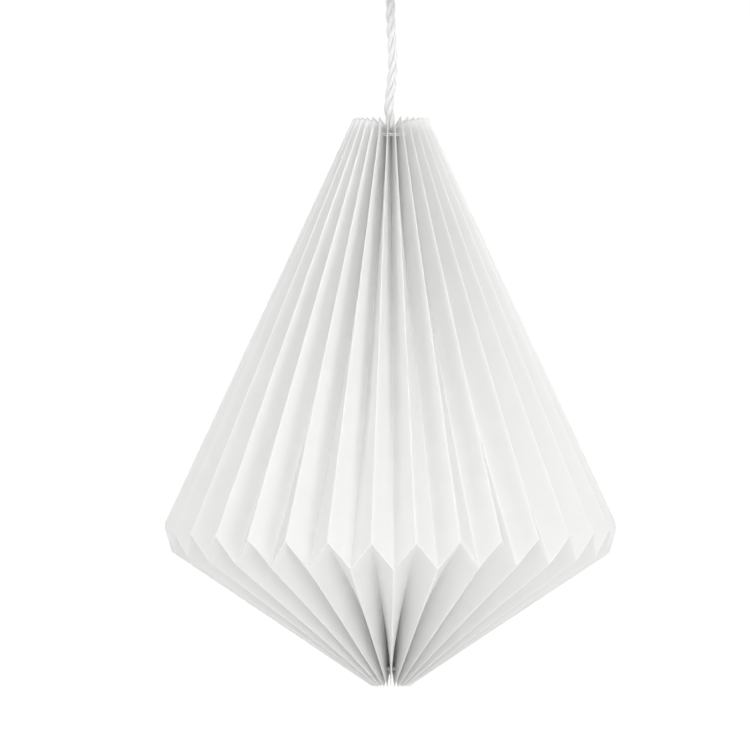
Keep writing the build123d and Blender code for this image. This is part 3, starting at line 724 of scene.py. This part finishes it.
# How far out across the panels the strings run; the spring of the pleats pulls them outwards.
TOP_STRING_SHARE = 0.575
BOTTOM_STRING_SHARE = 0.68
BOTTOM_STRING_LIFT = 1.8 * MM
FRONT_SLACK = 5.5 * MM           # the bottom string hangs out a little around the front pleat
SLACK_NARROWNESS = 20
KNOT_SIZE = 0.55 * MM
KNOT_FLATNESS = 0.62
KNOT_STEPS = 36
TAIL_STEPS = 5


def add_string(tubes, points, step, closed, phase=0.0):
    """Two-ply string along a route."""
    line, marks, _ = even_points(route_points("string_route", points, closed), step, closed)
    twisted(tubes, line, marks, 2, YARN_REACH, YARN_RADIUS, YARN_PITCH, YARN_SIDES, phase, closed)


def string_turn(radius, height, slack):
    """Points once round the lantern, a little uneven, further out at the front by the slack."""
    front = math.radians(FRONT_TURN - 90)
    points = []
    for spoke in range(SPOKES):
        angle = 2 * math.pi * spoke / SPOKES
        nearness = max(0.0, math.cos(angle - front)) ** SLACK_NARROWNESS
        reach = radius + slack * nearness + random.uniform(-0.25, 0.1) * MM
        level = height + random.uniform(-0.15, 0.15) * MM
        points.append((reach * math.cos(angle), reach * math.sin(angle), level))
    return points


def add_knot(tubes, radius, height):
    """A trefoil knot at the back of the lantern, with two short tails that hang from it."""
    turn = math.radians(90 + FRONT_TURN + 2 * math.degrees(HALF_PITCH))
    outward = np.array([math.cos(turn), math.sin(turn), 0.0])
    sideways = np.array([-math.sin(turn), math.cos(turn), 0.0])
    upward = np.array([0.0, 0.0, 1.0])
    centre = outward * radius + upward * height
    loop = []
    for step in range(KNOT_STEPS):
        angle = 2 * math.pi * step / KNOT_STEPS
        reach = KNOT_SIZE * (2 + math.cos(3 * angle))
        spot = centre + outward * (KNOT_SIZE * math.sin(3 * angle) + 0.4 * MM)
        spot = spot + sideways * reach * math.cos(2 * angle) * KNOT_FLATNESS
        spot = spot + upward * reach * math.sin(2 * angle) * KNOT_FLATNESS
        loop.append(tuple(spot))
    add_string(tubes, loop, 0.4 * MM, True)
    for side in (-1, 1):
        tail = []
        for step in range(TAIL_STEPS + 1):
            along = step / TAIL_STEPS
            spot = centre + outward * (0.9 + 1.6 * along) * MM
            spot = spot + sideways * side * (0.6 + 2.4 * along) * MM
            spot = spot - upward * (0.4 + 7.0 * along ** 1.4) * MM
            tail.append(tuple(spot))
        add_string(tubes, tail, 0.4 * MM, False)


def make_string(name, node, zone, share, lift=0.0, slack=0.0):
    """Two turns of string through the panels, tied in a knot."""
    distance = zone.length - STRING_EDGE_DISTANCE
    outer, inner = zone.outer(distance), zone.inner(distance)
    radius = inner[0] + share * (outer[0] - inner[0])
    height = (outer[1] + inner[1]) / 2 + lift
    tubes = Tubes()
    for turn in (-0.5, 0.5):
        points = string_turn(radius, height + turn * STRING_GAP, slack)
        add_string(tubes, points, 0.45 * MM, True, turn)
    add_knot(tubes, radius, height)
    string = tubes.object(name, STRING_YARN, "shade")
    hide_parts(node)


make_string("top_gathering_string", "top_string", upper, TOP_STRING_SHARE)
make_string(
    "bottom_gathering_string", "bottom_string", lower,
    BOTTOM_STRING_SHARE, BOTTOM_STRING_LIFT, FRONT_SLACK,
)


# ---------------------------------------------------------------- screw threads
THREAD_PITCH = 3.629 * MM
THREAD_DEPTH = 0.85 * MM
THREAD_FADE = 2.5 * MM
THREAD_ROWS = 10                 # in each turn of the thread
SHELL_WALL = 0.4 * MM
THREAD_CLEARANCE = 0.3 * MM
CAP_PLAIN = 5.0 * MM             # without thread, at the bulb cap's lower end
SLEEVE_PLAIN = 0.5 * MM
CAP_ROLL = 1.2 * MM
TURN_STEPS = 72


def thread_dent(height, turn):
    """How far the rolled thread dents inwards; the bulb's and the socket's are in step."""
    phase = 2 * math.pi * height / THREAD_PITCH - turn
    return THREAD_DEPTH * (0.5 - 0.5 * math.cos(phase))


def screw_shell(name, node, body, profile):
    """A thin threaded shell from (radius, height, share of the thread's depth) down its side."""
    vertices, faces = [], []
    rows = len(profile)
    for offset in (0.0, -SHELL_WALL):
        for radius, height, share in profile:
            for step in range(TURN_STEPS):
                turn = 2 * math.pi * step / TURN_STEPS
                reach = radius + offset - thread_dent(height, turn) * share
                vertices.append((reach * math.cos(turn), reach * math.sin(turn), height))
    inner = rows * TURN_STEPS
    for side, base in enumerate((0, inner)):
        for row in range(rows - 1):
            for step in range(TURN_STEPS):
                after = (step + 1) % TURN_STEPS
                first = base + row * TURN_STEPS
                second = first + TURN_STEPS
                face = (first + step, second + step, second + after, first + after)
                faces.append(face if side == 0 else face[::-1])
    for row, order in ((0, 1), (rows - 1, -1)):
        ring = row * TURN_STEPS
        for step in range(TURN_STEPS):
            after = (step + 1) % TURN_STEPS
            face = (ring + step, ring + after, inner + ring + after, inner + ring + step)
            faces.append(face[::order])
    material = SLOT_MATERIALS["nickel_shell"]
    shell = new_object(name, vertices, faces, material, body)
    smooth(shell, 50)
    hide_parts(node)


def thread_profile(radius, top, bottom, top_share, bottom_plain):
    """Heights down the shell, a tenth of a turn apart, with the thread's depth at each."""
    profile = []
    rows = int((top - bottom) / (THREAD_PITCH / THREAD_ROWS))
    for row in range(rows + 1):
        height = top + (bottom - top) * row / rows
        below_top = (top - height) / THREAD_FADE
        above_bottom = (height - bottom - bottom_plain) / THREAD_FADE
        share = max(top_share, min(1.0, below_top)) * min(1.0, max(0.0, above_bottom))
        profile.append((radius, height, share))
    return profile


def make_threads():
    low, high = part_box("bulb_cap")
    radius = high.x
    rolled_top = [
        (radius - 2.0 * MM, high.z, 0.0),
        (radius - 1.5 * MM, high.z - 0.1 * MM, 0.0),
        (radius - 1.05 * MM, high.z - 0.5 * MM, 0.0),
    ]
    cap = rolled_top + thread_profile(radius, high.z - CAP_ROLL, low.z, 1.0, CAP_PLAIN)
    screw_shell("threaded_bulb_cap", "bulb_cap", "bulb_base", cap)
    low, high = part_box("socket_sleeve")
    outside = radius + THREAD_CLEARANCE + SHELL_WALL
    sleeve = thread_profile(outside, high.z, low.z, 0.0, SLEEVE_PLAIN)
    screw_shell("threaded_socket_sleeve", "socket_sleeve", "lamp_holder", sleeve)


make_threads()

# ---------------------------------------------------------------- carried-over pieces
REPLACED = ("socket_sleeve", "bulb_cap")
for entry in frame["record"]["subparts"]:
    material = SLOT_MATERIALS.get(entry["material_slot"])
    if material and entry["node"] not in REPLACED:
        node = frame["nodes"][entry["node"]]
        node.data.materials.clear()
        node.data.materials.append(material)
        smooth(node, 35)

# ---------------------------------------------------------------- floor, light
FLOOR_DROP = 0.7                 # metres below the lantern, like all the sizes here
FLOOR_HALF = 60.0
FLOOR_GLOW_NEAR = 0.18
FLOOR_GLOW_FAR = 0.9
GLOW_START = 1.6
GLOW_END = 5.0


def make_floor():
    """A white floor, lit up further from the lantern like a studio's white cove.

    Only its upper side shows, so that it doesn't hide the lantern from below.
    """
    shader = Shader("pale_floor", 0.9)
    tone = shader.noise(2, 3, 0.5)
    duller, whiter = srgb(0.985, 0.985, 0.985), srgb(0.99, 0.99, 0.99)
    shader.colour(shader.ramp(tone, [(0.3, duller), (0.7, whiter)]))
    shader.set("Emission Color", (1.0, 1.0, 1.0, 1.0))
    distance = shader.node("ShaderNodeVectorMath")
    distance.operation = "LENGTH"
    shader.link(shader.coordinates.outputs["Object"], distance.inputs[0])
    glow = shader.ease(
        distance.outputs["Value"], GLOW_START, GLOW_END, FLOOR_GLOW_NEAR, FLOOR_GLOW_FAR
    )
    shader.link(glow, shader.principled.inputs["Emission Strength"])
    one_sided = shader.node("ShaderNodeMixShader")
    shader.link(shader.node("ShaderNodeNewGeometry").outputs["Backfacing"], one_sided.inputs[0])
    shader.link(shader.principled.outputs["BSDF"], one_sided.inputs[1])
    shader.link(shader.node("ShaderNodeBsdfTransparent").outputs["BSDF"], one_sided.inputs[2])
    output = shader.tree.nodes["Material Output"]
    shader.link(one_sided.outputs["Shader"], output.inputs["Surface"])
    mesh = bpy.data.meshes.new("floor")
    signs = ((-1, -1), (1, -1), (1, 1), (-1, 1))
    corners = [(x * FLOOR_HALF, y * FLOOR_HALF, 0.0) for x, y in signs]
    mesh.from_pydata(corners, [], [(0, 1, 2, 3)])
    mesh.materials.append(shader.material)
    floor = bpy.data.objects.new("floor", mesh)
    floor.location.z = cad_box[0].z - FLOOR_DROP
    bpy.context.scene.collection.objects.link(floor)


LIGHT_DISTANCE = 3.2
LIGHT_SIZE = 1.2
FULL_POWER = 60.0
LIT_POINT = Vector((0.0, 0.0, -0.35))


def studio_light(name, azimuth, elevation, share):
    """A soft disc light around the lantern; azimuth from +X, so 270 is the camera's side."""
    turn, rise = math.radians(azimuth), math.radians(elevation)
    level = math.cos(rise)
    way = Vector((math.cos(turn) * level, math.sin(turn) * level, math.sin(rise)))
    data = bpy.data.lights.new(name, "AREA")
    data.shape = "DISK"
    data.size = LIGHT_SIZE
    data.energy = FULL_POWER * share
    light = bpy.data.objects.new(name, data)
    light.location = LIT_POINT + way * LIGHT_DISTANCE
    light.rotation_mode = "QUATERNION"
    light.rotation_quaternion = (-way).to_track_quat("-Z", "Y")
    light.visible_camera = False
    bpy.context.scene.collection.objects.link(light)


make_floor()
studio_light("key_light", 270, 45, 0.47)
studio_light("top_light", 270, 70, 0.39)
studio_light("right_high_light", 330, 45, 0.337)
studio_light("left_high_light", 190, 45, 0.38)
studio_light("right_low_light", 300, -5, 0.17)
studio_light("left_low_light", 210, -15, 0.04)
studio_light("back_light", 90, 35, 0.8)


WALL_TOP = 0.12                  # as the sine of an elevation
CEILING_START = 0.45
WALL_LIGHT = 1.02
CEILING_LIGHT = 0.04


def make_world():
    """Soft surroundings: white walls up to a little over the horizon, dark above them."""
    world = bpy.data.worlds.new("studio")
    world.use_nodes = True
    tree = world.node_tree
    background = tree.nodes["Background"]
    background.inputs["Color"].default_value = (1.0, 1.0, 1.0, 1.0)
    coordinates = tree.nodes.new("ShaderNodeTexCoord")
    split = tree.nodes.new("ShaderNodeSeparateXYZ")
    tree.links.new(coordinates.outputs["Generated"], split.inputs["Vector"])
    fade = tree.nodes.new("ShaderNodeMapRange")
    fade.interpolation_type = "SMOOTHSTEP"
    for name, value in (
        ("From Min", WALL_TOP), ("From Max", CEILING_START),
        ("To Min", WALL_LIGHT), ("To Max", CEILING_LIGHT),
    ):
        fade.inputs[name].default_value = value
    tree.links.new(split.outputs["Z"], fade.inputs["Value"])
    tree.links.new(fade.outputs["Result"], background.inputs["Strength"])
    bpy.context.scene.world = world


make_world()
bpy.context.scene.view_settings.view_transform = "Standard"
bpy.context.scene.view_settings.look = "None"
